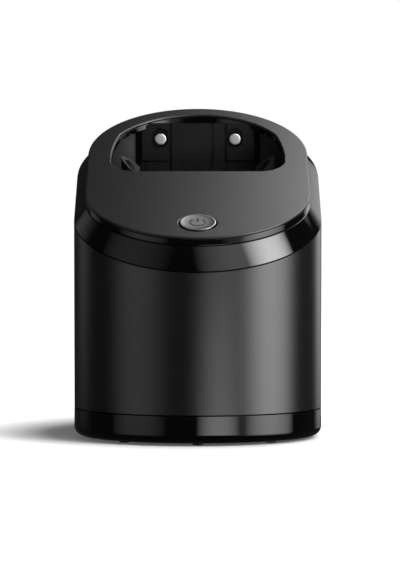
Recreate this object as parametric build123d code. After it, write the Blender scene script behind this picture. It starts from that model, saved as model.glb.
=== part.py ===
from build123d import *
import math
import os

# Shaver cleaning and charging station.
# Millimetres, +Z up, front faces -Y, origin under the centre of the footprint.

# Plan outline: half ellipse at the front, straight sides, half ellipse at the rear.
HALF_WIDTH = 60.0
FRONT_DEPTH = 50.4
SIDE_RUN = 41.2
REAR_DEPTH = 56.6
FRONT_AXIS_Y = FRONT_DEPTH - (FRONT_DEPTH + SIDE_RUN + REAR_DEPTH) / 2
REAR_AXIS_Y = FRONT_AXIS_Y + SIDE_RUN

# Sloping surfaces: height above the front axis, and rise per millimetre towards the rear.
SHELL_CUT = (106.06, 0.475)
TRIM_CUT = (114.07, 0.44)
PLATE_CUT = (118.61, 0.4492)
BAND_INSET = 5.7
PLATE_INSET = 5.47
PLATE_THICK = 1.4
SEAM = 0.5

# Base.
FOOT_HEIGHT = 2.6
FOOT_RADIUS = 2.4
RING_BOTTOM = 1.2
RING_TOP = 14.2
RING_WALL = 3.0
RING_ROUND = 4.3
TRAY_BOTTOM = 1.2
TRAY_THICK = 2.4
TRAY_GAP = 0.4
SCREW_SINK = 1.3
SCREW_SINK_RADIUS = 3.1
SHELL_BOTTOM = 14.8
SHELL_WALL = 2.2

# Cartridge and its bay at the rear.
BAY_HALF = 41.0
BAY_TOP = 63.4
CARTRIDGE_HALF = 40.0
CARTRIDGE_BOTTOM = 8.6
CARTRIDGE_RIM = 58.0
CARTRIDGE_TOP = 61.2
CARTRIDGE_WALL = 1.6
CARTRIDGE_FRONT_Y = -50.0
DRAIN_Y = 24.0
PUMP_Y = -30.0

# Lift guides and latch.
POST_X = 49.5
POST_Y = -4.0
POST_RADIUS = 4.0
POST_FIT = 0.08
POST_HEAD_LOW = 71.2
POST_HEAD_TOP = 73.3
SLEEVE_RADIUS = 6.0
SLEEVE_LOW = 32.0
LATCH_LOW = 69.0
LATCH_THICK = 2.0
LATCH_NECK = 2.4
LATCH_TRAVEL = 2.5
LATCH_GAP = 3.2
SPRING_BACK_Y = 59.5

# Deck, basin and pump.
DECK_LOW = 64.4
DECK_THICK = 2.2
DECK_TOP = DECK_LOW + DECK_THICK
BASIN_TOP = 86.0
BASIN_FLOOR = 72.0
PUMP_RADIUS = 13.0
MOTOR_RADIUS = 10.0
SHAFT_RADIUS = 1.0

# Docking opening in the plate, and the well under it.
OPEN_FRONT_Y = -0.7
OPEN_HALF = 43.1
OPEN_CORNER = 12.0
OPEN_SIDE_DEPTH = 66.0
OPEN_REAR_ELLIPSE = (44.9, 44.1)
OPEN_REAR_Y = 17.4
OPEN_REAR_CORNER = 5.0
RIM_WALL = 1.2
RIM_DROP = 2.3
WELL_INSET = 8.6
WELL_FRONT_Y = -2.2
WELL_WALL = 1.4
WELL_FLOOR = 88.0

# Contact panel at the rear of the well.
PAD_Y = 53.0
PAD_STEP = 1.0
PAD_INNER_X = 14.9
PAD_OUTER_X = 28.3
FLANK_X = 32.1
FLANK_BACK = 1.4
RAIL_OUTER_X = 13.2
INSERT_HALF = 8.0
INSERT_LOW = 128.4
PANEL_TOP = 152.4
PANEL_WALL = 2.0
STEP_Z = 133.4
PIN_X = 18.95
PIN_Z = 144.2
PIN_RADIUS = 2.9
PIN_RECESS = 3.0

# Cradle arms in the well, and their tops that fall towards the middle.
ARM_X = 24.5
ARM_Y = 17.0
ARM_OUTER = 13.6
ARM_INNER = 11.6
ARM_TOP = 134.8
ARM_FALL = 0.88

# Start button.
BUTTON_Y = -54.2
BUTTON_RADIUS = 8.7
BUTTON_HOLE = 9.15
BOARD_DROP = 13.0
BOARD_THICK = 1.6
BOARD_SPOTS = [(-20.0, -3.0), (20.0, -3.0), (-20.0, 16.0), (20.0, 16.0)]

TALL = 200.0
WIDE = 300.0


def outline(inset, stretch=1.0):
    """Plan outline drawn in by `inset`, with its origin on the front axis."""
    side = HALF_WIDTH - inset
    run = SIDE_RUN * stretch
    front = EllipticalCenterArc((0, 0), side, (FRONT_DEPTH - inset) * stretch, 180, arc_size=180)
    right = Line((side, 0), (side, run))
    rear = EllipticalCenterArc((0, run), side, (REAR_DEPTH - inset) * stretch, 0, arc_size=180)
    left = Line((-side, run), (-side, 0))
    return make_face([front, right, rear, left])


def prism(inset, low, high):
    """Upright solid of the outline between two heights."""
    return extrude(Pos(0, FRONT_AXIS_Y, low) * outline(inset), high - low)


def slope_plane(cut, drop=0.0):
    """Plane of a sloping surface, lowered by `drop` along the vertical."""
    height, rise = cut
    return Plane(
        origin=(0, FRONT_AXIS_Y, height - drop),
        x_dir=(1, 0, 0),
        z_dir=(0, -rise, 1),
    )


def slope_height(cut, y):
    return cut[0] + cut[1] * (y - FRONT_AXIS_Y)


def above(cut, drop=0.0):
    """Everything above a sloping surface."""
    return slope_plane(cut, drop) * Pos(0, 0, TALL / 2) * Box(WIDE, 2 * WIDE, TALL)


def below(cut, drop=0.0):
    """Everything below a sloping surface."""
    return slope_plane(cut, drop) * Pos(0, 0, -TALL / 2) * Box(WIDE, 2 * WIDE, TALL)


def sloped_outline(cut, inset, drop=0.0):
    """Outline as it lies on a sloping surface."""
    stretch = math.hypot(1, cut[1])
    return slope_plane(cut, drop) * outline(inset, stretch)


def block(low, high):
    """Box between two corners."""
    size = [abs(high[i] - low[i]) for i in range(3)]
    middle = [(high[i] + low[i]) / 2 for i in range(3)]
    return Pos(*middle) * Box(*size)


def rod(x, y, low, high, radius):
    """Upright cylinder."""
    return Pos(x, y, (low + high) / 2) * Cylinder(radius, high - low)


def tube(x, y, low, high, outer, inner):
    return rod(x, y, low, high, outer) - rod(x, y, low - 1, high + 1, inner)


def opening(offset, low, high):
    """Upright solid of the docking opening, grown by `offset`."""
    half = OPEN_HALF + offset
    corner = OPEN_CORNER + offset
    front_y = OPEN_FRONT_Y - offset
    face = Pos(0, front_y + WIDE / 2) * RectangleRounded(2 * half, WIDE, corner)
    face &= Pos(0, front_y + corner) * Ellipse(half, OPEN_SIDE_DEPTH + offset)
    rear_half, rear_depth = OPEN_REAR_ELLIPSE
    face &= Pos(0, OPEN_REAR_Y) * Ellipse(rear_half + offset, rear_depth + offset)
    rear_corners = [v for v in face.vertices() if v.Y > OPEN_REAR_Y]
    face = fillet(rear_corners, OPEN_REAR_CORNER + offset)
    return extrude(Pos(0, 0, low) * face, high - low)


def screw(radius, length, head_radius, head_height):
    """Pan-head screw: head on top of the origin plane, shank below, cross recess in the head."""
    body = Pos(0, 0, -length / 2) * Cylinder(radius, length)
    head = Pos(0, 0, head_height / 2) * Cylinder(head_radius, head_height)
    head = fillet(head.edges().group_by(Axis.Z)[-1], head_height * 0.35)
    slot = Pos(0, 0, head_height) * Box(head_radius * 1.1, head_radius * 0.3, head_height)
    return body + head - slot - Rot(0, 0, 90) * slot


def coil(x, y, low, high, radius, wire, turns):
    """Helical spring along Z."""
    height = high - low - wire
    path = Helix(pitch=height / turns, height=height, radius=radius)
    section = Plane(origin=path @ 0, z_dir=path % 0) * Circle(wire / 2)
    return Pos(x, y, low + wire / 2) * sweep(section, path=path)


# ---------------------------------------------------------------- base

FOOT_SPOTS = [(-35.0, -52.0), (0.0, -64.5), (35.0, -52.0), (-38.0, 46.0), (38.0, 46.0)]
TRAY_SCREWS = [(-48.0, -26.0), (48.0, -26.0), (-49.0, 26.0), (49.0, 26.0)]


def rounded_base():
    """Base outline with its lower edge rounded."""
    body = prism(0, RING_BOTTOM, RING_TOP)
    return fillet(body.edges().group_by(Axis.Z)[0], RING_ROUND)


def make_base_ring():
    ring = rounded_base() - prism(RING_WALL, RING_BOTTOM - 1, RING_TOP + 1)
    return ring - block((-BAY_HALF, REAR_AXIS_Y, 0), (BAY_HALF, 90, RING_TOP + 1))


def make_base_tray():
    tray = prism(RING_WALL + TRAY_GAP, TRAY_BOTTOM, TRAY_BOTTOM + TRAY_THICK)
    wall = prism(RING_WALL + 0.1, RING_BOTTOM + 0.6, RING_TOP - 1.2) - prism(RING_WALL + 1.7, 0, 20)
    step = prism(RING_WALL + 0.1, RING_BOTTOM + 0.6, RING_BOTTOM + 2.2) - prism(RING_WALL + 6, 0, 20)
    wall -= block((-BAY_HALF, REAR_AXIS_Y, 0), (BAY_HALF, 90, 20))
    step -= block((-BAY_HALF, REAR_AXIS_Y, 0), (BAY_HALF, 90, 20))
    sill = rounded_base() & block((0.3 - BAY_HALF, 52.0, 0), (BAY_HALF - 0.3, 90, CARTRIDGE_BOTTOM - 0.4))
    rails = [
        block((side * 41.5 - 0.9, -40, TRAY_BOTTOM + 1), (side * 41.5 + 0.9, 52, RING_TOP - 1.2))
        for side in (-1, 1)
    ]
    runners = [
        block((x - 1, -44, TRAY_BOTTOM + 1), (x + 1, 54, CARTRIDGE_BOTTOM - 0.4))
        for x in (-24, 0, 24)
    ]
    tray = tray + wall + step + sill
    for piece in rails + runners:
        tray += piece
    for x in (-POST_X, POST_X):
        tray += rod(x, POST_Y, TRAY_BOTTOM, 10.0, 7.4)
        tray -= rod(x, POST_Y, TRAY_BOTTOM + 1.6, 11.0, POST_RADIUS)
    for x, y in TRAY_SCREWS:
        tray -= rod(x, y, 0, 12, 1.9)
        tray -= rod(x, y, TRAY_BOTTOM - 1, TRAY_BOTTOM + SCREW_SINK, SCREW_SINK_RADIUS)
    for x, y in FOOT_SPOTS:
        tray -= rod(x, y, TRAY_BOTTOM - 1, FOOT_HEIGHT, FOOT_RADIUS)
    return tray


def make_feet():
    feet = []
    for x, y in FOOT_SPOTS:
        foot = rod(x, y, 0, FOOT_HEIGHT, FOOT_RADIUS)
        feet.append(chamfer(foot.edges().group_by(Axis.Z)[0], 0.5))
    return Compound(children=feet)


def make_guide_posts():
    posts = []
    for x in (-POST_X, POST_X):
        post = rod(x, POST_Y, TRAY_BOTTOM + 1.6, LATCH_LOW - 0.3, POST_RADIUS)
        post += rod(x, POST_Y, LATCH_LOW - 0.3, POST_HEAD_LOW, LATCH_NECK)
        head = rod(x, POST_Y, POST_HEAD_LOW, POST_HEAD_TOP, POST_RADIUS)
        post += chamfer(head.edges().group_by(Axis.Z)[-1], 0.8)
        posts.append(post)
    return Compound(children=posts)


def make_lift_springs():
    springs = [coil(x, POST_Y, 10.1, SLEEVE_LOW - 0.1, 5.0, 0.9, 6) for x in (-POST_X, POST_X)]
    return Compound(children=springs)


def make_base_screws():
    screws = []
    for x, y in TRAY_SCREWS:
        low = TRAY_BOTTOM + SCREW_SINK
        screws.append(Pos(x, y, low) * Rot(180, 0, 0) * screw(1.5, 6.5, 2.8, 1.2))
    return Compound(children=screws)


# ---------------------------------------------------------------- outer housing

LIFT_BUTTON_Z = 77.5
LIFT_BUTTON_HALF = 11.0
LIFT_BUTTON_TALL = 5.0
INLET_X = -28.0
INLET_Z = 77.4
INLET_HALF = 9.5
INLET_TALL = 5.4


def rounded_hole(x, z, half, tall, corner, y_low, y_high):
    """Rounded rectangular solid running along Y."""
    plane = Plane(origin=(x, y_low, z), x_dir=(-1, 0, 0), z_dir=(0, 1, 0))
    return extrude(plane * RectangleRounded(2 * half, 2 * tall, corner), y_high - y_low)


def make_shell():
    shell = prism(0, SHELL_BOTTOM, TALL) - prism(SHELL_WALL, 0, TALL + 10)
    shell -= above(SHELL_CUT, SEAM / 2)
    bay = block((-BAY_HALF, REAR_AXIS_Y, 0), (BAY_HALF, 90, BAY_TOP))
    shell -= fillet(bay.edges().filter_by(Axis.Y).group_by(Axis.Z)[-1], 4.0)
    shell -= rounded_hole(
        0, LIFT_BUTTON_Z, LIFT_BUTTON_HALF + 0.4, LIFT_BUTTON_TALL + 0.4, 3.0, 60, 90
    )
    shell -= rounded_hole(INLET_X, INLET_Z, INLET_HALF + 0.2, INLET_TALL + 0.2, 2.2, 50, 90)
    for x, y in DECK_SCREWS:
        boss_top = DECK_TOP + 14
        wall_x = math.copysign(HALF_WIDTH, x)
        web = block((x, y - 1, LATCH_LOW + LATCH_THICK + 1), (wall_x, y + 1, boss_top))
        shell += rod(x, y, DECK_TOP, boss_top, 3.4)
        shell += web & prism(SHELL_WALL - 0.4, 0, TALL)
        shell -= rod(x, y, DECK_TOP - 1, DECK_TOP + 9, 1.3)
    return shell


def make_gloss_band():
    lower = sloped_outline(SHELL_CUT, 0, -SEAM / 2)
    middle_cut = [SHELL_CUT[i] * 0.42 + TRIM_CUT[i] * 0.58 for i in range(2)]
    middle = sloped_outline(middle_cut, BAND_INSET * 0.36)
    upper = sloped_outline(TRIM_CUT, BAND_INSET, SEAM / 2)
    band = loft([lower, middle, upper])
    inner_low = sloped_outline(SHELL_CUT, SHELL_WALL + 1.4, 6.0)
    inner_mid = sloped_outline(middle_cut, BAND_INSET * 0.36 + 1.8, 1.0)
    inner_top = sloped_outline(TRIM_CUT, BAND_INSET + 1.25, -0.6)
    skirt = prism(SHELL_WALL + 0.15, 20, TALL) & below(SHELL_CUT, -SEAM / 2) & above(SHELL_CUT, 4.0)
    hollow = loft([inner_low, inner_mid, inner_top])
    return band + skirt - hollow


def make_trim_ring():
    ring = prism(PLATE_INSET + 0.15, 20, TALL) & above(TRIM_CUT, -SEAM / 2)
    ring += prism(PLATE_INSET + 0.75, 20, TALL) & above(TRIM_CUT, SEAM / 2 - 0.02)
    ring -= prism(PLATE_INSET + 1.4, 0, TALL + 10)
    return ring & below(PLATE_CUT, PLATE_THICK)


def make_top_plate():
    plate = prism(PLATE_INSET, 20, TALL) & below(PLATE_CUT) & above(PLATE_CUT, PLATE_THICK)
    plate = fillet(plate.faces().sort_by(Axis.Z)[-1].outer_wire().edges(), 0.5)
    plate -= opening(0, 20, TALL)
    plate -= button_frame() * Cylinder(BUTTON_HOLE, 20)
    for x, y in BOARD_SPOTS:
        length = BOARD_DROP - BOARD_THICK / 2 - plate_normal_thickness()
        post = Cylinder(2.4, length) - Pos(0, 0, -3) * Cylinder(1.2, length)
        plate += button_frame() * Pos(x, y, -plate_normal_thickness() - length / 2) * post
    return plate


def make_recess_rim():
    rim = opening(RIM_WALL, 20, TALL) - opening(0, 0, TALL + 10)
    return rim & below(PLATE_CUT, PLATE_THICK) & above(PLATE_CUT, PLATE_THICK + RIM_DROP)


# ---------------------------------------------------------------- docking well

BASIN_AXES = (31.0, 16.5)


def oval(y, z, long_radius, short_radius):
    return Pos(0, y, z) * Ellipse(long_radius, short_radius)


def make_recess_liner():
    outer = prism(WELL_INSET - WELL_WALL, WELL_FLOOR - WELL_WALL, TALL)
    outer &= block((-90, WELL_FRONT_Y - WELL_WALL, 0), (90, 90, TALL))
    inner = prism(WELL_INSET, WELL_FLOOR, TALL + 10)
    inner &= block((-90, WELL_FRONT_Y, 0), (90, 90, TALL + 10))
    tub = (outer - inner) & below(PLATE_CUT, PLATE_THICK + 0.05)
    tub -= extrude(oval(DRAIN_Y, 0, BASIN_AXES[0] + 1.7, BASIN_AXES[1] + 1.7), TALL)
    for x in (-PIN_X, PIN_X):
        tub -= Pos(x, 60, PIN_Z) * Rot(90, 0, 0) * Cylinder(2.4, 20)
    return tub


def panel_plan(inset):
    """Plan of the contact panel's base, drawn in by `inset` and running back past the wall."""
    front = PAD_Y + PAD_STEP + inset
    bend = PAD_OUTER_X + 0.5 - inset * 0.4
    flank = FLANK_X - inset * 0.8
    points = [(-flank, front + FLANK_BACK), (-bend, front), (bend, front), (flank, front + FLANK_BACK)]
    points += [(flank, 90), (-flank, 90)]
    return make_face(Polyline(*points, close=True))


def pad_shape(side):
    """Raised pad around a contact pin, its outer top corner well rounded."""
    pad = block((side * PAD_INNER_X, PAD_Y, STEP_Z), (side * PAD_OUTER_X, PAD_Y + PAD_STEP, PANEL_TOP))
    edges = pad.edges().filter_by(Axis.Y).sort_by(Axis.X)
    outer = edges[:2] if side < 0 else edges[-2:]
    return fillet(outer.sort_by(Axis.Z)[-1], 6.0)


def make_contact_panel():
    base = extrude(Pos(0, 0, WELL_FLOOR + 0.1) * panel_plan(0), PANEL_TOP - WELL_FLOOR)
    hollow = extrude(Pos(0, 0, WELL_FLOOR + 2.5) * panel_plan(PANEL_WALL), PANEL_TOP - WELL_FLOOR - 4.5)
    panel = base - hollow
    rail = block((-RAIL_OUTER_X, PAD_Y + 0.2, 0), (RAIL_OUTER_X, PAD_Y + PAD_STEP, PANEL_TOP))
    panel += rail & block((-90, 0, WELL_FLOOR + 0.1), (90, 90, TALL))
    for side in (-1, 1):
        panel += pad_shape(side)
        low_corner = (side * PAD_INNER_X, PAD_Y + 0.5, WELL_FLOOR + 0.1)
        panel += block(low_corner, (side * 26, PAD_Y + PAD_STEP, STEP_Z - 0.8))
        panel += Pos(side * PIN_X, PAD_Y + 4.2, PIN_Z) * Rot(90, 0, 0) * Cylinder(5.6, 4.0)
        panel -= rounded_hole(side * PIN_X, PIN_Z + 0.8, 3.9, 4.9, 3.8, 40, PAD_Y + PIN_RECESS)
        panel -= Pos(side * PIN_X, 55, PIN_Z) * Rot(90, 0, 0) * Cylinder(PIN_RADIUS + 0.08, 30)
    panel -= insert_shape(INSERT_HALF + 0.1, 0, PAD_Y + 1.6)
    panel -= above(PLATE_CUT, PLATE_THICK + RIM_DROP + 0.1) - opening(-0.1, 0, TALL)
    panel &= prism(WELL_INSET + 0.1, 0, TALL)
    return panel


def insert_shape(half, y_low, y_high):
    """Tongue-shaped solid of the channel insert: square top, rounded lower corners."""
    body = block((-half, y_low, INSERT_LOW), (half, y_high, TALL))
    return fillet(body.edges().filter_by(Axis.Y).group_by(Axis.Z)[0], 4.0)


def make_channel_insert():
    body = insert_shape(INSERT_HALF, PAD_Y + 1.0, PAD_Y + 1.6)
    return body & block((-60, 0, 0), (60, 90, PANEL_TOP - 0.9))


def make_cradle_arms():
    arms = []
    for side in (-1, 1):
        ring = Pos(side * ARM_X, ARM_Y, 0) * (Circle(ARM_OUTER) - Circle(ARM_INNER))
        arm = extrude(Pos(0, 0, WELL_FLOOR + 0.05) * ring, 50)
        arm -= extrude(oval(DRAIN_Y, 80, BASIN_AXES[0] + 3.5, BASIN_AXES[1] + 3.5), 10)
        arm &= block((side * 29, 8, 0), (side * 45, 40, TALL))
        cut = Plane(
            origin=(side * 37, ARM_Y, ARM_TOP),
            x_dir=(0, 1, 0),
            z_dir=(-side * ARM_FALL, -0.2, 1),
        )
        arms.append(arm - cut * Pos(0, 0, 50) * Box(200, 200, 100))
    return Compound(children=arms)


def make_cleaning_basin():
    outer = loft([
        oval(DRAIN_Y, BASIN_FLOOR - 1.6, BASIN_AXES[0] - 7, BASIN_AXES[1] - 5),
        oval(DRAIN_Y, BASIN_TOP, BASIN_AXES[0] + 1.5, BASIN_AXES[1] + 1.5),
    ])
    inner = loft([
        oval(DRAIN_Y, BASIN_FLOOR, BASIN_AXES[0] - 8, BASIN_AXES[1] - 6),
        oval(DRAIN_Y, BASIN_TOP + 0.01, BASIN_AXES[0], BASIN_AXES[1]),
    ])
    collar = extrude(oval(DRAIN_Y, BASIN_TOP, BASIN_AXES[0] + 1.5, BASIN_AXES[1] + 1.5), 2.6)
    collar -= extrude(oval(DRAIN_Y, BASIN_TOP - 1, BASIN_AXES[0], BASIN_AXES[1]), 9)
    basin = outer - inner + collar
    basin += rod(0, DRAIN_Y, DECK_LOW - 0.2, BASIN_FLOOR, 5.0)
    basin -= rod(0, DRAIN_Y, 0, BASIN_FLOOR + 1, 3.4)
    nozzle = Pos(0, DRAIN_Y - 16.5, 80) * Rot(90, 0, 0) * Cylinder(2.6, 9)
    bore = Pos(0, DRAIN_Y - 16.0, 80) * Rot(90, 0, 0) * Cylinder(1.5, 12)
    keep_out = extrude(oval(DRAIN_Y, 70, BASIN_AXES[0] - 2, BASIN_AXES[1] - 2), 18)
    basin += nozzle - keep_out
    return basin - bore


def make_basin_seal():
    seal = extrude(oval(DRAIN_Y, WELL_FLOOR + 0.05, BASIN_AXES[0] + 3.4, BASIN_AXES[1] + 3.4), 1.0)
    seal -= extrude(oval(DRAIN_Y, 80, BASIN_AXES[0] + 1.6, BASIN_AXES[1] + 1.6), 20)
    return seal


# ---------------------------------------------------------------- deck, pump, latch

DECK_SCREWS = [(-44.0, 33.0), (44.0, 33.0), (-44.0, -38.0), (44.0, -38.0)]


def make_inner_deck():
    deck = prism(SHELL_WALL + 0.3, DECK_LOW, DECK_TOP)
    deck -= rod(0, DRAIN_Y, 0, 90, 5.15)
    deck -= rod(0, PUMP_Y, 0, 90, 4.1)
    for x in (-POST_X, POST_X):
        deck += rod(x, POST_Y, SLEEVE_LOW, DECK_LOW + 0.5, SLEEVE_RADIUS)
        deck -= rod(x, POST_Y, 0, 90, POST_RADIUS + POST_FIT)
    for x, y in DECK_SCREWS:
        deck -= rod(x, y, 0, 90, 1.8)
    stop = block((-4, SPRING_BACK_Y - 2, DECK_TOP - 0.5), (4, SPRING_BACK_Y, DECK_TOP + 6.5))
    return deck + stop


def make_deck_screws():
    screws = []
    for x, y in DECK_SCREWS:
        screws.append(Pos(x, y, DECK_LOW) * Rot(180, 0, 0) * screw(1.25, 9.0, 3.0, 1.2))
    return Compound(children=screws)


def make_drain_seal():
    return tube(0, DRAIN_Y, CARTRIDGE_TOP + 1.25, DECK_LOW - 0.25, 6.6, 3.4)


def make_intake_seal():
    return tube(0, PUMP_Y, CARTRIDGE_TOP + 1.25, DECK_LOW - 0.05, 5.6, 2.5)


def make_pump_housing():
    body = tube(0, PUMP_Y, DECK_TOP + 0.02, DECK_TOP + 8.0, PUMP_RADIUS, PUMP_RADIUS - 2.0)
    body += rod(0, PUMP_Y, DECK_TOP + 0.02, DECK_TOP + 2.0, PUMP_RADIUS)
    body += rod(0, PUMP_Y, DECK_LOW, DECK_TOP + 1, 4.0)
    for x in (-16.0, 16.0):
        body += rod(x, PUMP_Y, DECK_TOP + 0.02, DECK_TOP + 8.0, 3.4)
        body += block((min(x, 0), PUMP_Y - 2, DECK_TOP + 0.02), (max(x, 0), PUMP_Y + 2, DECK_TOP + 1.5))
    body -= rod(0, PUMP_Y, DECK_TOP + 2.0, DECK_TOP + 9.0, PUMP_RADIUS - 2.0)
    body -= rod(0, PUMP_Y, 0, 90, 2.5)
    for x in (-16.0, 16.0):
        body -= rod(x, PUMP_Y, DECK_TOP + 2, DECK_TOP + 9, 1.1)
    spout = Pos(0, PUMP_Y + PUMP_RADIUS + 1.4, DECK_TOP + 5) * Rot(90, 0, 0) * Cylinder(2.6, 7)
    bore = Pos(0, PUMP_Y + PUMP_RADIUS + 1.4, DECK_TOP + 5) * Rot(90, 0, 0) * Cylinder(1.5, 12)
    cavity = rod(0, PUMP_Y, DECK_TOP + 2, DECK_TOP + 8, PUMP_RADIUS - 1.0)
    return body + (spout - cavity) - bore


def make_pump_cover():
    cover = rod(0, PUMP_Y, DECK_TOP + 8.05, DECK_TOP + 10.0, PUMP_RADIUS)
    for x in (-16.0, 16.0):
        cover += rod(x, PUMP_Y, DECK_TOP + 8.05, DECK_TOP + 10.0, 3.4)
        cover += block((min(x, 0), PUMP_Y - 3, DECK_TOP + 8.05), (max(x, 0), PUMP_Y + 3, DECK_TOP + 10.0))
        cover -= rod(x, PUMP_Y, 0, 90, 1.35)
    return cover - rod(0, PUMP_Y, 0, 90, SHAFT_RADIUS + 0.05)


def make_pump_screws():
    spots = [(-16.0, PUMP_Y), (16.0, PUMP_Y)]
    return Compound(children=[Pos(x, y, DECK_TOP + 10.0) * screw(1.05, 7.0, 2.4, 1.1) for x, y in spots])


def make_pump_motor():
    low = DECK_TOP + 10.05
    can = rod(0, PUMP_Y, low, low + 15, MOTOR_RADIUS)
    can = fillet(can.edges().group_by(Axis.Z)[-1], 1.2)
    flats = block((-20, PUMP_Y - 7.7, 0), (20, PUMP_Y + 7.7, 200))
    can &= flats
    can += rod(0, PUMP_Y, low + 14.5, low + 16.2, 3.0)
    for x in (-5.0, 5.0):
        can += block((x - 1, PUMP_Y - 0.3, low + 14.5), (x + 1, PUMP_Y + 0.3, low + 18.0))
    return can - rod(0, PUMP_Y, 0, low + 12, SHAFT_RADIUS + 0.05)


def make_pump_shaft():
    return rod(0, PUMP_Y, DECK_TOP + 3.4, DECK_TOP + 20.0, SHAFT_RADIUS)


def make_impeller():
    wheel = rod(0, PUMP_Y, DECK_TOP + 3.0, DECK_TOP + 4.0, 9.5)
    wheel += rod(0, PUMP_Y, DECK_TOP + 3.0, DECK_TOP + 7.2, 2.6)
    vane = block((1.5, -0.5, DECK_TOP + 3.5), (9.2, 0.5, DECK_TOP + 7.0))
    for i in range(6):
        wheel += Pos(0, PUMP_Y, 0) * Rot(0, 0, 60 * i) * vane
    return wheel - rod(0, PUMP_Y, DECK_TOP + 3.4, 90, SHAFT_RADIUS)


def make_supply_hose():
    start_y = PUMP_Y + PUMP_RADIUS + 2.2
    end_y = DRAIN_Y - 18.6
    points = [
        (0, start_y, DECK_TOP + 5),
        (0, start_y + 8.5, DECK_TOP + 5),
        (0, end_y - 8.5, 80),
        (0, end_y, 80),
    ]
    path = FilletPolyline(*points, radius=6.0)
    section = Plane(origin=path @ 0, z_dir=path % 0) * (Circle(3.6) - Circle(2.65))
    return sweep(section, path=path)


def make_latch_hoop():
    """Hoop that runs round the rear inside the shell, with a keyhole for each guide post."""
    plate = prism(LATCH_GAP, LATCH_LOW, LATCH_LOW + LATCH_THICK) - prism(LATCH_GAP + 5, 0, TALL)
    plate &= block((-90, POST_Y + 4, 0), (90, 90, TALL))
    for side in (-1, 1):
        x = side * POST_X
        eye_corner = (side * 43.2, POST_Y - 7, LATCH_LOW)
        eye = block(eye_corner, (side * 55.6, POST_Y + 10, LATCH_LOW + LATCH_THICK))
        plate += fillet(eye.edges().filter_by(Axis.Z), 2.0)
        plate -= rod(x, POST_Y, 0, 90, LATCH_NECK + 0.3)
        plate -= rod(x, POST_Y + LATCH_TRAVEL, 0, 90, POST_RADIUS + 0.3)
    return plate


def make_lift_button():
    cap = rounded_hole(
        0, LIFT_BUTTON_Z, LIFT_BUTTON_HALF, LIFT_BUTTON_TALL, 2.7, 67.5, 90
    )
    cap &= prism(0.3, 0, TALL)
    for i in range(3):
        z = LIFT_BUTTON_Z - 2.4 + 2.4 * i
        cap -= block((-7.5, 60, z - 0.35), (7.5, 90, z + 0.35)) - prism(0.8, 0, TALL)
    low = LATCH_LOW + LATCH_THICK
    flange_top = LIFT_BUTTON_Z + LIFT_BUTTON_TALL + 1.2
    flange = block((-12.2, 67.2, low + 0.02), (12.2, 69.2, flange_top))
    return cap + flange


def make_latch_spring():
    spring = coil(0, 0, 0, 3.6, 2.0, 0.5, 4)
    return Pos(0, SPRING_BACK_Y + 0.05, LATCH_LOW + LATCH_THICK / 2) * Rot(-90, 0, 0) * spring


def make_power_cable():
    frame = button_frame()
    end = frame * Pos(-13, 1, -BOARD_DROP - BOARD_THICK / 2)
    before_end = frame * Pos(-13, 1, -BOARD_DROP - 9)
    points = [
        (INLET_X, 47.9, INLET_Z),
        (INLET_X, 40, INLET_Z + 1),
        (-45, 25, 82),
        (-45, -6, 82),
        (-30, -24, 82),
        before_end.position,
        end.position,
    ]
    path = FilletPolyline(*points, radius=[3.0, 8.0, 9.0, 9.0, 3.0])
    section = Plane(origin=path @ 0, z_dir=path % 0) * Circle(1.3)
    return sweep(section, path=path)


# ---------------------------------------------------------------- start button and board

def button_frame():
    """Frame on the plate surface at the button, Z along the plate's normal."""
    height = slope_height(PLATE_CUT, BUTTON_Y)
    return Plane(origin=(0, BUTTON_Y, height), x_dir=(1, 0, 0), z_dir=(0, -PLATE_CUT[1], 1))


def plate_normal_thickness():
    return PLATE_THICK / math.hypot(1, PLATE_CUT[1])


def make_start_button():
    cap = Pos(0, 0, -0.6) * Cylinder(BUTTON_RADIUS, 2.2)
    cap = fillet(cap.edges().group_by(Axis.Z)[-1], 0.45)
    dish = Pos(0, 0, 60.15) * Sphere(60.0)
    stem = Pos(0, 0, -4.6) * Cylinder(3.0, 6.0)
    body = cap + stem - dish
    body -= symbol_shape()
    return button_frame() * body


def symbol_shape():
    """Power symbol: broken ring and upright bar, sunk into the button face."""
    ring = Cylinder(3.5, 1.0) - Cylinder(2.8, 2.0)
    ring -= Pos(0, 3.2, 0) * Box(2.4, 3.0, 3.0)
    bar = Pos(0, 2.6, 0) * Box(0.7, 3.0, 1.0)
    return ring + bar


def make_button_symbol():
    dish = Pos(0, 0, 60.15) * Sphere(60.0)
    return button_frame() * (symbol_shape() - dish)


def make_button_guide():
    top = -plate_normal_thickness() - 0.02
    guide = Pos(0, 0, (top - 8.8) / 2) * (Cylinder(11.4, top + 8.8) - Cylinder(9.3, 20))
    guide += Pos(0, 0, -8.2) * (Cylinder(11.4, 1.2) - Cylinder(3.4, 10))
    return button_frame() * guide


def make_control_board():
    board = Pos(0, 6.5, -BOARD_DROP) * Box(46, 25, BOARD_THICK)
    for x, y in BOARD_SPOTS:
        board -= Pos(x, y, -BOARD_DROP) * Cylinder(1.4, 5)
    chips = [(-11, 10, 7, 7, 1.2), (10, 11, 9, 5, 1.4), (-13, 1, 4, 6, 2.0), (12, 2, 3, 3, 1.0)]
    for x, y, width, depth, tall in chips:
        board += Pos(x, y, -BOARD_DROP + 0.8 + tall / 2) * Box(width, depth, tall)
    return button_frame() * board


def make_board_screws():
    under = -BOARD_DROP - BOARD_THICK / 2
    screws = [Pos(x, y, under) * Rot(180, 0, 0) * screw(1.15, 4.5, 2.2, 1.0) for x, y in BOARD_SPOTS]
    return button_frame() * Compound(children=screws)


def make_start_switch():
    body = Pos(0, 0, -BOARD_DROP + 0.85 + 1.6) * Box(6, 6, 3.2)
    knob = Pos(0, 0, -BOARD_DROP + 0.85 + 3.4) * Cylinder(1.6, 0.8)
    return button_frame() * (body + knob)


# ---------------------------------------------------------------- contacts and power inlet

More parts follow.
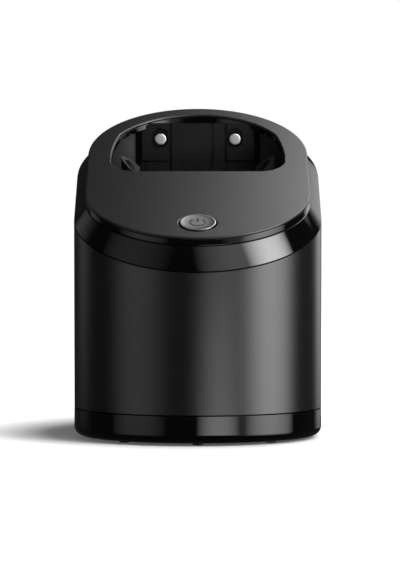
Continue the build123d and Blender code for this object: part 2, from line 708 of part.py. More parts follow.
def contact_pin(x):
    head = Cylinder(PIN_RADIUS, 6.0)
    head = fillet(head.edges().group_by(Axis.Z)[-1], 0.5)
    stem = Pos(0, 0, -5.5) * Cylinder(1.2, 7.0)
    return Pos(x, PAD_Y + 1.6, PIN_Z) * Rot(90, 0, 0) * (head + stem)


def make_contact_springs():
    leaves = []
    for x in (-PIN_X, PIN_X):
        leaf = block((x - 1.6, PAD_Y + 11.7, PIN_Z - 14), (x + 1.6, PAD_Y + 12.1, PIN_Z + 2.5))
        leaves.append(leaf)
    return Compound(children=leaves)


def make_power_inlet():
    body = rounded_hole(INLET_X, INLET_Z, INLET_HALF, INLET_TALL, 2.0, 48, 90) & prism(0.35, 0, TALL)
    cavity = rounded_hole(INLET_X, INLET_Z, 6.6, 3.5, 2.4, 51.5, 90)
    body -= cavity
    for x in (-3.3, 3.3):
        body -= Pos(INLET_X + x, 50, INLET_Z) * Rot(90, 0, 0) * Cylinder(0.9, 20)
    return body


def make_inlet_pins():
    pins = []
    for x in (-3.3, 3.3):
        pin = Pos(INLET_X + x, 52, INLET_Z) * Rot(90, 0, 0) * Cylinder(0.9, 14)
        pins.append(pin)
    return Compound(children=pins)


# ---------------------------------------------------------------- cartridge

def cartridge_plan(inset):
    """Plan of the cartridge: half ellipse in front, straight sides, rear on the housing outline."""
    half = CARTRIDGE_HALF - inset
    start_y = -14.0
    depth = start_y - CARTRIDGE_FRONT_Y - inset
    front = EllipticalCenterArc((0, start_y), half, depth, 180, arc_size=180)
    sides = Polyline((half, start_y), (half, 90), (-half, 90), (-half, start_y))
    return make_face([front, *sides.edges()])


def cartridge_block(inset, low, high):
    solid = extrude(Pos(0, 0, low) * cartridge_plan(inset), high - low)
    return solid & prism(inset + 0.35, 0, TALL)


def make_cartridge_tub():
    scoop = Pos(0, REAR_AXIS_Y + REAR_DEPTH + 3.5, 42) * Rot(0, 90, 0)
    tub = cartridge_block(0, CARTRIDGE_BOTTOM, CARTRIDGE_RIM) - scoop * Cylinder(11, 34)
    hollow = cartridge_block(CARTRIDGE_WALL, CARTRIDGE_BOTTOM + CARTRIDGE_WALL, 80)
    return tub - (hollow - scoop * Cylinder(12.4, 37))


def make_cartridge_lid():
    lid = cartridge_block(0, CARTRIDGE_RIM + 0.05, CARTRIDGE_TOP)
    lid -= cartridge_block(CARTRIDGE_WALL, 0, CARTRIDGE_TOP - 1.4)
    lid -= rod(0, DRAIN_Y, 0, 90, 5.0)
    lid -= rod(0, PUMP_Y, 0, 90, 3.6)
    return lid


def make_port_seals():
    seals = [
        tube(0, DRAIN_Y, CARTRIDGE_TOP + 0.02, CARTRIDGE_TOP + 0.9, 6.6, 5.0),
        tube(0, PUMP_Y, CARTRIDGE_TOP + 0.02, CARTRIDGE_TOP + 0.9, 5.6, 3.6),
    ]
    return Compound(children=seals)


def make_dip_tube():
    return tube(0, PUMP_Y, CARTRIDGE_BOTTOM + 4.0, CARTRIDGE_TOP, 3.55, 2.3)


def make_drain_screen():
    screen = rod(0, DRAIN_Y, CARTRIDGE_TOP - 2.6, CARTRIDGE_TOP - 1.5, 7.5)
    for i in range(-2, 3):
        for j in range(-2, 3):
            screen -= rod(2.0 * i, DRAIN_Y + 2.0 * j, 0, 90, 0.7)
    return screen


MAKERS = {
    "base_ring": make_base_ring,
    "base_tray": make_base_tray,
    "feet": make_feet,
    "guide_posts": make_guide_posts,
    "lift_springs": make_lift_springs,
    "base_screws": make_base_screws,
    "shell": make_shell,
    "gloss_band": make_gloss_band,
    "trim_ring": make_trim_ring,
    "top_plate": make_top_plate,
    "recess_rim": make_recess_rim,
    "recess_liner": make_recess_liner,
    "contact_panel": make_contact_panel,
    "channel_insert": make_channel_insert,
    "cradle_arms": make_cradle_arms,
    "cleaning_basin": make_cleaning_basin,
    "basin_seal": make_basin_seal,
    "inner_deck": make_inner_deck,
    "deck_screws": make_deck_screws,
    "drain_seal": make_drain_seal,
    "intake_seal": make_intake_seal,
    "pump_housing": make_pump_housing,
    "pump_cover": make_pump_cover,
    "pump_screws": make_pump_screws,
    "pump_motor": make_pump_motor,
    "pump_shaft": make_pump_shaft,
    "impeller": make_impeller,
    "supply_hose": make_supply_hose,
    "latch_hoop": make_latch_hoop,
    "lift_button": make_lift_button,
    "latch_spring": make_latch_spring,
    "start_button": make_start_button,
    "button_symbol": make_button_symbol,
    "button_guide": make_button_guide,
    "control_board": make_control_board,
    "board_screws": make_board_screws,
    "start_switch": make_start_switch,
    "contact_pin_left": lambda: contact_pin(-PIN_X),
    "contact_pin_right": lambda: contact_pin(PIN_X),
    "contact_springs": make_contact_springs,
    "power_cable": make_power_cable,
    "power_inlet": make_power_inlet,
    "inlet_pins": make_inlet_pins,
    "cartridge_tub": make_cartridge_tub,
    "cartridge_lid": make_cartridge_lid,
    "port_seals": make_port_seals,
    "dip_tube": make_dip_tube,
    "drain_screen": make_drain_screen,
}


def main():
    os.makedirs("parts", exist_ok=True)
    for name, maker in MAKERS.items():
        export_step(maker(), f"parts/{name}.step")


if __name__ == "__main__":
    main()
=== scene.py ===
"""Finishes the shaver cleaning station: materials, fine pieces, stage and camera."""

import math
from contextlib import contextmanager

import bmesh
import bpy
from bpy.props import FloatProperty, FloatVectorProperty, PointerProperty
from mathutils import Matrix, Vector


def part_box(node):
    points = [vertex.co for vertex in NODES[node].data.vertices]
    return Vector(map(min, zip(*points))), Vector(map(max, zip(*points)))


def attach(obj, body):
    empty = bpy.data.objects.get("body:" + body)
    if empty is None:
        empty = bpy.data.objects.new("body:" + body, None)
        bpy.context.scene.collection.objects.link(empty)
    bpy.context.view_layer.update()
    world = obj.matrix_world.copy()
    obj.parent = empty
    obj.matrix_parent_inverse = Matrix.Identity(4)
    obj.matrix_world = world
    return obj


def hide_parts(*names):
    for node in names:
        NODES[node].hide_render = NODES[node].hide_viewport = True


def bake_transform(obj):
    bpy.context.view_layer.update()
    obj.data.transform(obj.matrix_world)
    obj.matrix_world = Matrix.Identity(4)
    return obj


bl_info = {
    "name": "Cleaning station finish",
    "version": (1, 0, 0),
    "blender": (4, 5, 0),
    "location": "View3D > Sidebar > Station",
    "description": "Finishes the packed cleaning station and sets its stage",
    "category": "Object",
}

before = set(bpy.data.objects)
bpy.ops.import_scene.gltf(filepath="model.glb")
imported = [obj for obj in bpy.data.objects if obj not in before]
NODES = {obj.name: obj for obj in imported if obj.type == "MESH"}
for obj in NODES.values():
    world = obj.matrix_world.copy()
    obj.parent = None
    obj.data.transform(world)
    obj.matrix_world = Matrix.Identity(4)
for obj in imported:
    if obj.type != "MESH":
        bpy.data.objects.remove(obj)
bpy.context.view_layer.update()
MM = 0.001

# Plan outline of the station in millimetres: two half ellipses joined by straight sides.
HALF_WIDTH = 60.0
FRONT_DEPTH = 50.4
REAR_DEPTH = 56.6
FRONT_AXIS_Y = -23.7
REAR_AXIS_Y = 17.5
ROUND_STEPS = 162

# Sloping surfaces: height above the front axis, and rise towards the rear.
SHELL_SLOPE = (106.06, 0.475)
TRIM_SLOPE = (114.07, 0.44)
PLATE_SLOPE = (118.61, 0.4492)
BAND_INSET = 5.7
PLATE_INSET = 5.47
PLATE_THICK = 1.4
PLATE_SKIN = 0.08
RIM_DROP = 2.3
HALF_SEAM = 0.25

# Walls, and the heights of the shell's foot and the base ring.
SHELL_BOTTOM = 14.8
SHELL_WALL = 2.2
BAND_WALL = 1.25
RING_BOTTOM = 1.2
RING_TOP = 14.2
RING_WALL = 3.0
RING_ROUND = 4.3
RING_STEPS = 7

# Openings at the rear: two corners and the corner rounding.
CARTRIDGE_OPENING = ((-41, 17.5, 5), (41, 90, 63.4), 4.0)
LIFT_OPENING = ((-11.4, 60, 72.1), (11.4, 90, 82.9), 3.0)
POWER_OPENING = ((-37.7, 50, 71.8), (-18.3, 90, 83.0), 2.2)
BASE_OPENING = ((-41, 17.5, 0), (41, 90, 20))

# Docking opening.
OPEN_FRONT_Y = -0.7
OPEN_HALF = 43.1
OPEN_CORNER = 12.0
OPEN_SIDE_DEPTH = 66.0
OPEN_REAR_ELLIPSE = (44.9, 44.1)
OPEN_REAR_Y = 17.4

# Start button.
BUTTON_Y = -54.2
BUTTON_RADIUS = 8.7
BUTTON_HOLE = 9.15
SYMBOL_RADIUS = 4.1
SYMBOL_THICK = 0.12

# Springs: middle radius and wire.
POST_X = 49.5
POST_Y = -4.0
LIFT_SPRING = (5.0, 0.9)
LIFT_TURNS = 6
LATCH_SPRING = (2.0, 0.5)
LATCH_TURNS = 4

# Feet and contacts.
FOOT_SPOTS = [(-35.0, -52.0), (0.0, -64.5), (35.0, -52.0), (-38.0, 46.0), (38.0, 46.0)]
FOOT_RADIUS = 2.4
FOOT_HEIGHT = 2.6
CONTACT_X = 18.95
CONTACT_Y = 53.2
CONTACT_Z = 144.2
CONTACT_RADIUS = 2.9

TALL = 200.0

# Without a window, transform.rotate turns the other way.
TURN = -1

# Camera: downward tilt in radians, and the shift that puts the station left or right in the frame.
CAMERA_TILT = 0.0496
CAMERA_SHIFT = 0.00395

# The point that the softboxes face, in metres.
LIGHT_TARGET = Vector((0, -0.02, 0.09))


# ---------------------------------------------------------------- settings


def colour(name, description, value):
    return FloatVectorProperty(
        name=name, description=description, subtype="COLOR", size=3, min=0, max=1, default=value
    )


def length(name, description, value):
    return FloatProperty(name=name, description=description, unit="LENGTH", default=value)


def amount(name, description, value):
    return FloatProperty(name=name, description=description, min=0, default=value)


class StationColours(bpy.types.PropertyGroup):
    shell: colour("Shell", "Satin paint of the tall shell", (0.0035, 0.0035, 0.0036))
    plate: colour("Top plate", "Satin black of the sloping plate", (0.0045, 0.0045, 0.0046))
    gloss: colour("Gloss trim", "Polished black of the band, trim and base ring", (0.0008, 0.0008, 0.0009))
    well: colour("Well", "Matte black inside the docking well", (0.004, 0.004, 0.004))
    panel: colour("Contact panel", "Satin black of the contact panel", (0.005, 0.005, 0.0051))
    silver: colour("Button", "Satin silver of the start button", (0.36, 0.36, 0.365))
    cartridge: colour("Cartridge", "Tinted plastic of the cartridge", (0.05, 0.16, 0.32))


class StationStage(bpy.types.PropertyGroup):
    floor: colour("Floor", "Pale floor", (0.93, 0.93, 0.93))
    camera_distance: length("Camera distance", "From the front axis of the station", 1.5)
    camera_height: length("Camera height", "Above the surface", 0.14822)
    lens: FloatProperty(name="Lens", description="Focal length in millimetres", default=195.395)
    surround: amount("Surround", "Light from the room, away from the softboxes", 0.03)
    # Floor glow the camera sees right beside the station, kept low: a painted shadow round the base.
    floor_lift: amount("Floor lift", "Extra white beside the station, as the camera sees it", 0.08)


# ---------------------------------------------------------------- node helpers


def new_material(name):
    material = bpy.data.materials.new(name)
    material.use_nodes = True
    tree = material.node_tree
    return material, tree, tree.nodes["Principled BSDF"]


def add(tree, kind, **values):
    node = tree.nodes.new(kind)
    for key, value in values.items():
        if key in node.inputs:
            node.inputs[key].default_value = value
        else:
            setattr(node, key, value)
    return node


def link(tree, output, socket):
    tree.links.new(output, socket)


def new_group(name, inputs, outputs):
    """Node group with float inputs {name: default} and outputs {name: socket type}."""
    group = bpy.data.node_groups.new(name, "ShaderNodeTree")
    for label, value in inputs.items():
        socket = group.interface.new_socket(name=label, in_out="INPUT", socket_type="NodeSocketFloat")
        socket.default_value = value
    for label, kind in outputs.items():
        group.interface.new_socket(name=label, in_out="OUTPUT", socket_type=kind)
    start = group.nodes.new("NodeGroupInput")
    end = group.nodes.new("NodeGroupOutput")
    return group, start, end


def grain_group():
    """Fine moulded or sprayed grain: a height, a roughness and a fleck mask."""
    group, start, end = new_group(
        "fine_grain",
        {"Scale": 2500.0, "Fleck Scale": 5200.0, "Fleck Share": 0.2, "Rough": 0.4, "Rough Spread": 0.05},
        {"Height": "NodeSocketFloat", "Roughness": "NodeSocketFloat", "Fleck": "NodeSocketFloat"},
    )
    coords = add(group, "ShaderNodeTexCoord")
    noise = add(group, "ShaderNodeTexNoise", Detail=3.0, Roughness=0.6)
    link(group, coords.outputs["Object"], noise.inputs["Vector"])
    link(group, start.outputs["Scale"], noise.inputs["Scale"])
    cells = add(group, "ShaderNodeTexVoronoi", feature="F1")
    link(group, coords.outputs["Object"], cells.inputs["Vector"])
    link(group, start.outputs["Fleck Scale"], cells.inputs["Scale"])
    channels = add(group, "ShaderNodeSeparateColor")
    link(group, cells.outputs["Color"], channels.inputs["Color"])
    fleck = add(group, "ShaderNodeMath", operation="LESS_THAN")
    link(group, channels.outputs[0], fleck.inputs[0])
    link(group, start.outputs["Fleck Share"], fleck.inputs[1])
    shade = add(group, "ShaderNodeMath", operation="MULTIPLY")
    link(group, fleck.outputs[0], shade.inputs[0])
    link(group, channels.outputs[1], shade.inputs[1])
    wide = add(group, "ShaderNodeTexNoise", Scale=60.0, Detail=2.0)
    link(group, coords.outputs["Object"], wide.inputs["Vector"])
    centred = add(group, "ShaderNodeMath", operation="SUBTRACT")
    link(group, wide.outputs[0], centred.inputs[0])
    centred.inputs[1].default_value = 0.5
    rough = add(group, "ShaderNodeMath", operation="MULTIPLY_ADD")
    link(group, centred.outputs[0], rough.inputs[0])
    link(group, start.outputs["Rough Spread"], rough.inputs[1])
    link(group, start.outputs["Rough"], rough.inputs[2])
    link(group, noise.outputs[0], end.inputs["Height"])
    link(group, rough.outputs[0], end.inputs["Roughness"])
    link(group, shade.outputs[0], end.inputs["Fleck"])
    return group


def place_group(tree, group, **values):
    node = tree.nodes.new("ShaderNodeGroup")
    node.node_tree = group
    for key, value in values.items():
        node.inputs[key.replace("_", " ")].default_value = value
    return node


def grained(name, group, base, light, rough, spread, scale, bump, **extra):
    """Plastic or paint with fine grain: colour from base to light by the flecks, bump from the grain."""
    material, tree, shader = new_material(name)
    node = place_group(
        tree,
        group,
        Scale=scale,
        Rough=rough,
        Rough_Spread=spread,
        Fleck_Scale=extra.pop("fleck_scale", 5200.0),
        Fleck_Share=extra.pop("fleck_share", 0.2),
    )
    mix = add(tree, "ShaderNodeMix", data_type="RGBA")
    mix.inputs[6].default_value = (*base, 1)
    mix.inputs[7].default_value = (*light, 1)
    link(tree, node.outputs["Fleck"], mix.inputs[0])
    link(tree, mix.outputs[2], shader.inputs["Base Color"])
    link(tree, node.outputs["Roughness"], shader.inputs["Roughness"])
    relief = add(tree, "ShaderNodeBump", Strength=bump, Distance=0.0001)
    link(tree, node.outputs["Height"], relief.inputs["Height"])
    link(tree, relief.outputs["Normal"], shader.inputs["Normal"])
    for key, value in extra.items():
        shader.inputs[key.replace("_", " ")].default_value = value
    return material


def brushed(name, base, rough, scale, stretch, bump, metallic=1.0):
    """Metal with fine lines drawn along one axis, on Object coordinates."""
    material, tree, shader = new_material(name)
    coords = add(tree, "ShaderNodeTexCoord")
    turn = add(tree, "ShaderNodeMapping")
    turn.inputs["Scale"].default_value = stretch
    link(tree, coords.outputs["Object"], turn.inputs["Vector"])
    lines = add(tree, "ShaderNodeTexNoise", Scale=scale, Detail=4.0, Roughness=0.65)
    link(tree, turn.outputs[0], lines.inputs["Vector"])
    ramp = add(tree, "ShaderNodeMapRange")
    ramp.inputs["To Min"].default_value = max(rough - 0.08, 0.02)
    ramp.inputs["To Max"].default_value = rough + 0.08
    link(tree, lines.outputs[0], ramp.inputs["Value"])
    link(tree, ramp.outputs[0], shader.inputs["Roughness"])
    tint = add(tree, "ShaderNodeMix", data_type="RGBA")
    tint.inputs[6].default_value = (*[c * 0.82 for c in base], 1)
    tint.inputs[7].default_value = (*base, 1)
    link(tree, lines.outputs[0], tint.inputs[0])
    link(tree, tint.outputs[2], shader.inputs["Base Color"])
    relief = add(tree, "ShaderNodeBump", Strength=bump, Distance=0.00005)
    link(tree, lines.outputs[0], relief.inputs["Height"])
    link(tree, relief.outputs["Normal"], shader.inputs["Normal"])
    shader.inputs["Metallic"].default_value = metallic
    return material


class Finishes:
    """Every finish of the station, made once."""

    made = {}


def make_finishes():
    chosen = bpy.context.scene.station_colours
    grain = grain_group()
    made = Finishes.made
    made["shell"] = grained(
        "satin_shell_paint", grain, chosen.shell, (0.014, 0.014, 0.0145), 0.24, 0.04, 3800.0, 0.30,
        fleck_scale=3300.0, fleck_share=0.22, Specular_IOR_Level=0.75,
    )
    made["plate"] = grained(
        "satin_plate_plastic", grain, chosen.plate, (0.009, 0.009, 0.0093), 0.38, 0.04, 5200.0, 0.10,
        fleck_share=0.15, Specular_IOR_Level=0.6,
    )
    made["gloss"] = grained(
        "polished_black", grain, chosen.gloss, (0.0012, 0.0012, 0.0013), 0.05, 0.03, 900.0, 0.01,
        fleck_share=0.05, Specular_IOR_Level=0.5,
    )
    made["well"] = grained(
        "well_matte_black", grain, chosen.well, (0.008, 0.008, 0.008), 0.50, 0.06, 2600.0, 0.3,
    )
    made["panel"] = grained(
        "panel_satin_black", grain, chosen.panel, (0.009, 0.009, 0.009), 0.42, 0.06, 2600.0, 0.2,
        Specular_IOR_Level=0.35,
    )
    made["insert"] = grained(
        "insert_black", grain, (0.008, 0.008, 0.008), (0.012, 0.012, 0.012), 0.3, 0.04, 2600.0, 0.1,
    )
    made["rubber"] = grained(
        "foot_rubber", grain, (0.012, 0.012, 0.012), (0.02, 0.02, 0.02), 0.75, 0.08, 1800.0, 0.5,
    )
    made["silicone"] = grained(
        "milky_silicone", grain, (0.45, 0.47, 0.5), (0.55, 0.57, 0.6), 0.45, 0.05, 1500.0, 0.15,
    )
    made["acetal"] = grained(
        "white_acetal", grain, (0.66, 0.66, 0.64), (0.72, 0.72, 0.7), 0.4, 0.05, 1500.0, 0.12,
    )
    made["board"] = grained(
        "board_green", grain, (0.012, 0.09, 0.04), (0.03, 0.16, 0.07), 0.3, 0.05, 700.0, 0.15,
    )
    made["cartridge"] = grained(
        "cartridge_blue", grain, chosen.cartridge, (0.07, 0.2, 0.38), 0.28, 0.05, 1600.0, 0.15,
    )
    made["cartridge_cap"] = grained(
        "cartridge_cap_blue", grain, (0.03, 0.10, 0.22), (0.04, 0.13, 0.27), 0.32, 0.05, 1600.0, 0.15,
    )
    made["ink"] = grained(
        "symbol_dark", grain, (0.012, 0.012, 0.012), (0.02, 0.02, 0.02), 0.5, 0.05, 1500.0, 0.1,
    )
    made["silver"] = brushed("button_silver", chosen.silver, 0.30, 900.0, (1, 6, 6), 0.12)
    made["chrome"] = brushed("contact_chrome", (0.92, 0.92, 0.92), 0.48, 1500.0, (1, 1, 1), 0.02)
    made["steel"] = brushed("drawn_steel", (0.52, 0.52, 0.53), 0.28, 700.0, (8, 8, 0.6), 0.15)
    made["screw"] = brushed("zinc_screw", (0.45, 0.45, 0.46), 0.34, 900.0, (1, 1, 1), 0.2)
    made["can"] = brushed("motor_can_nickel", (0.60, 0.60, 0.58), 0.3, 700.0, (6, 6, 0.6), 0.15)
    made["brass"] = brushed("pin_brass", (0.72, 0.52, 0.24), 0.25, 900.0, (1, 1, 1), 0.1)


CAD_FINISH = {
    "base_ring": "gloss", "base_tray": "well", "feet": "rubber", "guide_posts": "steel",
    "lift_springs": "steel", "base_screws": "screw", "shell": "shell", "gloss_band": "gloss",
    "trim_ring": "gloss", "top_plate": "plate", "recess_rim": "gloss", "recess_liner": "well",
    "contact_panel": "panel", "channel_insert": "insert", "cradle_arms": "panel",
    "cleaning_basin": "well", "basin_seal": "rubber", "inner_deck": "well", "deck_screws": "screw",
    "drain_seal": "rubber", "intake_seal": "rubber", "pump_housing": "acetal", "pump_cover": "acetal",
    "pump_screws": "screw", "pump_motor": "can", "pump_shaft": "steel", "impeller": "acetal",
    "supply_hose": "silicone", "latch_hoop": "steel", "lift_button": "panel", "latch_spring": "steel",
    "start_button": "silver", "button_symbol": "ink", "button_guide": "well", "control_board": "board",
    "board_screws": "screw", "start_switch": "well", "contact_pin_left": "chrome",
    "contact_pin_right": "chrome", "contact_springs": "brass", "power_cable": "rubber",
    "power_inlet": "well", "inlet_pins": "brass", "cartridge_tub": "cartridge",
    "cartridge_lid": "cartridge_cap", "port_seals": "silicone", "dip_tube": "acetal",
    "drain_screen": "acetal",
}


# ---------------------------------------------------------------- shaping helpers


def alone(obj):
    """Selects one object only and makes it active."""
    bpy.ops.object.select_all(action="DESELECT")
    obj.select_set(True)
    bpy.context.view_layer.objects.active = obj


@contextmanager
def editing(obj, kind="VERT"):
    """Edit mode on one object, in vertex, edge or face selection."""
    alone(obj)
    bpy.ops.object.mode_set(mode="EDIT")
    bpy.ops.mesh.select_mode(type=kind)
    yield
    bpy.ops.object.mode_set(mode="OBJECT")


def pick(obj, items, test):
    """Selects only the verts, edges or faces that pass the test."""
    bpy.ops.mesh.select_all(action="DESELECT")
    mesh = bmesh.from_edit_mesh(obj.data)
    mesh.verts.index_update()
    for item in getattr(mesh, items):
        if test(item):
            item.select_set(True)
    if items == "verts":
        mesh.select_flush(True)
    bmesh.update_edit_mesh(obj.data)


def named(name):
    obj = bpy.context.object
    obj.name = obj.data.name = name
    return obj


def apply_modifier(obj, kind, **values):
    alone(obj)
    modifier = obj.modifiers.new(kind.lower(), kind)
    for key, value in values.items():
        setattr(modifier, key, value)
    bpy.ops.object.modifier_apply(modifier=modifier.name)


def place(obj):
    """Moves an object's turn, size and place into its mesh."""
    alone(obj)
    bpy.ops.object.transform_apply(location=True, rotation=True, scale=True)
    return obj


def rounded(obj, width, segments=3, angle=30.0):
    """Rounds the sharp edges, then shades smoothly with the large faces keeping their own normals."""
    if width:
        apply_modifier(
            obj, "BEVEL", width=width * MM, segments=segments, limit_method="ANGLE",
            angle_limit=math.radians(angle), use_clamp_overlap=True,
        )
    alone(obj)
    bpy.ops.object.shade_smooth_by_angle(angle=math.radians(42))
    apply_modifier(obj, "WEIGHTED_NORMAL", weight=90, keep_sharp=True)
    return obj


def combine(target, tool, operation="DIFFERENCE"):
    """Boolean of two solids. The tool is used up."""
    before = len(target.data.vertices)
    apply_modifier(target, "BOOLEAN", object=tool, operation=operation, solver="MANIFOLD")
    if len(target.data.vertices) in (0, before):
        raise RuntimeError(f"the boolean did nothing to {target.name}")
    bpy.data.objects.remove(tool)
    return target


def join(first, *others):
    """Makes several objects one."""
    bpy.ops.object.select_all(action="DESELECT")
    for obj in (first, *others):
        obj.select_set(True)
    bpy.context.view_layer.objects.active = first
    bpy.ops.object.join()
    return first


def outward(obj):
    """Merges doubles and turns all faces outwards."""
    with editing(obj):
        bpy.ops.mesh.select_all(action="SELECT")
        bpy.ops.mesh.remove_doubles(threshold=1e-6)
        bpy.ops.mesh.normals_make_consistent(inside=False)
    return obj


def pick_loop(obj, number, side=0):
    """Selects one loop of a stack, or only its half with y on one side."""
    low = number * ROUND_STEPS
    high = low + ROUND_STEPS
    pick(obj, "verts", lambda v: low <= v.index < high and v.co.y * side >= 0)


def shape_loop(obj, number, old_inset, section):
    """Puts one loop of a stack onto the plan outline drawn in by inset, on a level or sloping plane."""
    inset, height, rise = section if len(section) == 3 else (*section, 0.0)
    pick_loop(obj, number)
    bpy.ops.transform.resize(value=(1, 1, 0), center_override=(0, 0, 0))
    for side, depth, axis in ((1, REAR_DEPTH, REAR_AXIS_Y), (-1, FRONT_DEPTH, FRONT_AXIS_Y)):
        pick_loop(obj, number, side)
        widen = (HALF_WIDTH - inset) / (HALF_WIDTH - old_inset)
        deepen = (depth - inset) / (depth - old_inset)
        bpy.ops.transform.resize(value=(widen, deepen, 1), center_override=(0, axis * MM, 0))
    pick_loop(obj, number)
    bpy.ops.transform.translate(value=(0, 0, height * MM))
    if rise:
        angle = math.atan(rise)
        middle = (0, FRONT_AXIS_Y * MM, height * MM)
        bpy.ops.transform.rotate(value=TURN * angle, orient_axis="X", center_override=middle)
        stretch = 1 / math.cos(angle)
        bpy.ops.transform.resize(value=(1, stretch, stretch), center_override=middle)
    return inset


def stack_loops(name, sections, closed):
    """Skin through plan loops (inset, height, rise). A closed one is a ring, an open one a lid."""
    bpy.ops.object.select_all(action="DESELECT")
    bpy.ops.mesh.primitive_circle_add(vertices=ROUND_STEPS, radius=1, fill_type="NOTHING")
    skin = named(name)
    if closed:
        sections = [*sections, sections[0]]
    with editing(skin):
        for side, depth, axis in ((1, REAR_DEPTH, REAR_AXIS_Y), (-1, FRONT_DEPTH, FRONT_AXIS_Y)):
            pick_loop(skin, 0, side)
            bpy.ops.transform.resize(
                value=(HALF_WIDTH * MM, depth * MM, 1), center_override=(0, 0, 0)
            )
            bpy.ops.transform.translate(value=(0, axis * MM, 0))
        inset = shape_loop(skin, 0, 0.0, sections[0])
        for number, section in enumerate(sections[1:], 1):
            pick_loop(skin, number - 1)
            bpy.ops.mesh.extrude_region_move()
            inset = shape_loop(skin, number, inset, section)
        if not closed:
            for number in (0, len(sections) - 1):
                pick_loop(skin, number)
                bpy.ops.mesh.edge_face_add()
    return outward(skin)


def slope(surface, drop=0.0):
    """Height and rise of a sloping surface, lowered by drop."""
    return surface[0] - drop, surface[1]


def solid_box(low, high, corner=0.0, axis="y"):
    """Box between two corners, its edges along one axis rounded."""
    bpy.ops.object.select_all(action="DESELECT")
    bpy.ops.mesh.primitive_cube_add(size=1)
    box = named("box")
    box.scale = [(b - a) * MM for a, b in zip(low, high)]
    box.location = [(a + b) / 2 * MM for a, b in zip(low, high)]
    place(box)
    if corner:
        along = "xyz".index(axis)
        with editing(box, "EDGE"):
            pick(
                box, "edges",
                lambda e: abs((e.verts[0].co - e.verts[1].co).normalized()[along]) > 0.99,
            )
            bpy.ops.mesh.bevel(offset=corner * MM, segments=8, affect="EDGES")
    return box


def oval_post(x, y, half_x, half_y, low=0.0, high=TALL, steps=128):
    """Upright oval cylinder."""
    bpy.ops.object.select_all(action="DESELECT")
    bpy.ops.mesh.primitive_cylinder_add(vertices=steps, radius=1, depth=1)
    post = named("post")
    post.scale = (half_x * MM, half_y * MM, (high - low) * MM)
    post.location = (x * MM, y * MM, (low + high) / 2 * MM)
    return place(post)


def opening_prism(offset):
    """Tall solid of the docking opening, grown by offset."""
    half = OPEN_HALF + offset
    corner = OPEN_CORNER + offset
    front = OPEN_FRONT_Y - offset
    prism = solid_box((-half, front, 10), (half, front + TALL, TALL), corner, "z")
    sides = oval_post(0, front + corner, half, OPEN_SIDE_DEPTH + offset)
    rear_half, rear_depth = OPEN_REAR_ELLIPSE
    rear = oval_post(0, OPEN_REAR_Y, rear_half + offset, rear_depth + offset)
    combine(prism, sides, "INTERSECT")
    return combine(prism, rear, "INTERSECT")


def onto_plate(obj):
    """Turns and moves a piece made at the origin onto the plate at the start button."""
    height = PLATE_SLOPE[0] + PLATE_SLOPE[1] * (BUTTON_Y - FRONT_AXIS_Y)
    obj.rotation_euler = (math.atan(PLATE_SLOPE[1]), 0, 0)
    obj.location = (0, BUTTON_Y * MM, height * MM)
    return place(obj)


def finish_piece(obj, finish, slot, body, *nodes):
    """Gives a piece its finish, its body, and the CAD nodes that it stands for. The slot is not used."""
    obj.data.materials.clear()
    obj.data.materials.append(Finishes.made[finish])
    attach(obj, body)
    if nodes:
        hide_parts(*nodes)
    return obj


# ---------------------------------------------------------------- operators


class STATION_OT_finishes(bpy.types.Operator):
    """Makes the finishes and gives every CAD node its own"""

    bl_idname = "station.finishes"
    bl_label = "Finishes"

    def execute(self, context):
        make_finishes()
        missing = set(NODES) - set(CAD_FINISH)
        if missing:
            raise RuntimeError(f"no finish for {sorted(missing)}")
        for name, key in CAD_FINISH.items():
            mesh = NODES[name].data
            for i in range(len(mesh.materials)):
                mesh.materials[i] = Finishes.made[key]
        return {"FINISHED"}


class STATION_OT_outer_rings(bpy.types.Operator):
    """Models the shell, the gloss band, the trim ring and the base ring"""

    bl_idname = "station.outer_rings"
    bl_label = "Shell and rings"

    def execute(self, context):
        shell_top = slope(SHELL_SLOPE, HALF_SEAM)
        shell = stack_loops("shell_wall", [
            (0, SHELL_BOTTOM), (0, *shell_top), (SHELL_WALL, *shell_top), (SHELL_WALL, SHELL_BOTTOM),
        ], True)
        for corners in (CARTRIDGE_OPENING, LIFT_OPENING, POWER_OPENING):
            combine(shell, solid_box(*corners))
        rounded(shell, 0.3)
        finish_piece(shell, "shell", "satin_shell", "housing", "shell")

        low = slope(SHELL_SLOPE, -HALF_SEAM)
        top = slope(TRIM_SLOPE, HALF_SEAM)
        middle = [(low[i] + top[i]) / 2 for i in range(2)]
        skirt = slope(SHELL_SLOPE, 4.0)
        band = stack_loops("gloss_band_ring", [
            (0, *low), (BAND_INSET * 0.47, *middle), (BAND_INSET, *top),
            (BAND_INSET + BAND_WALL, *top), (2.35 + BAND_WALL, *skirt), (2.35, *skirt), (2.35, *low),
        ], True)
        rounded(band, 0.3)
        finish_piece(band, "gloss", "gloss_black", "housing", "gloss_band")

        above_seam = slope(TRIM_SLOPE, -HALF_SEAM)
        below_seam = slope(TRIM_SLOPE, HALF_SEAM - 0.02)
        under_plate = slope(PLATE_SLOPE, PLATE_THICK)
        edge = PLATE_INSET + 0.15
        trim = stack_loops("trim_ring_gloss", [
            (edge, *above_seam), (edge, *under_plate), (edge + BAND_WALL, *under_plate),
            (edge + BAND_WALL, *below_seam), (edge + 0.6, *below_seam), (edge + 0.6, *above_seam),
        ], True)
        rounded(trim, 0.15)
        finish_piece(trim, "gloss", "gloss_black", "housing", "trim_ring")

        arc = [math.radians(7 + 83 * i / RING_STEPS) for i in range(RING_STEPS + 1)]
        lower = [
            (RING_ROUND * (1 - math.sin(t)), RING_BOTTOM + RING_ROUND * (1 - math.cos(t))) for t in arc
        ]
        base = stack_loops("base_ring_gloss", [*lower, (0, RING_TOP), (RING_WALL, RING_TOP)], True)
        combine(base, solid_box(*BASE_OPENING))
        rounded(base, 0.3)
        finish_piece(base, "gloss", "gloss_black", "base", "base_ring")
        return {"FINISHED"}


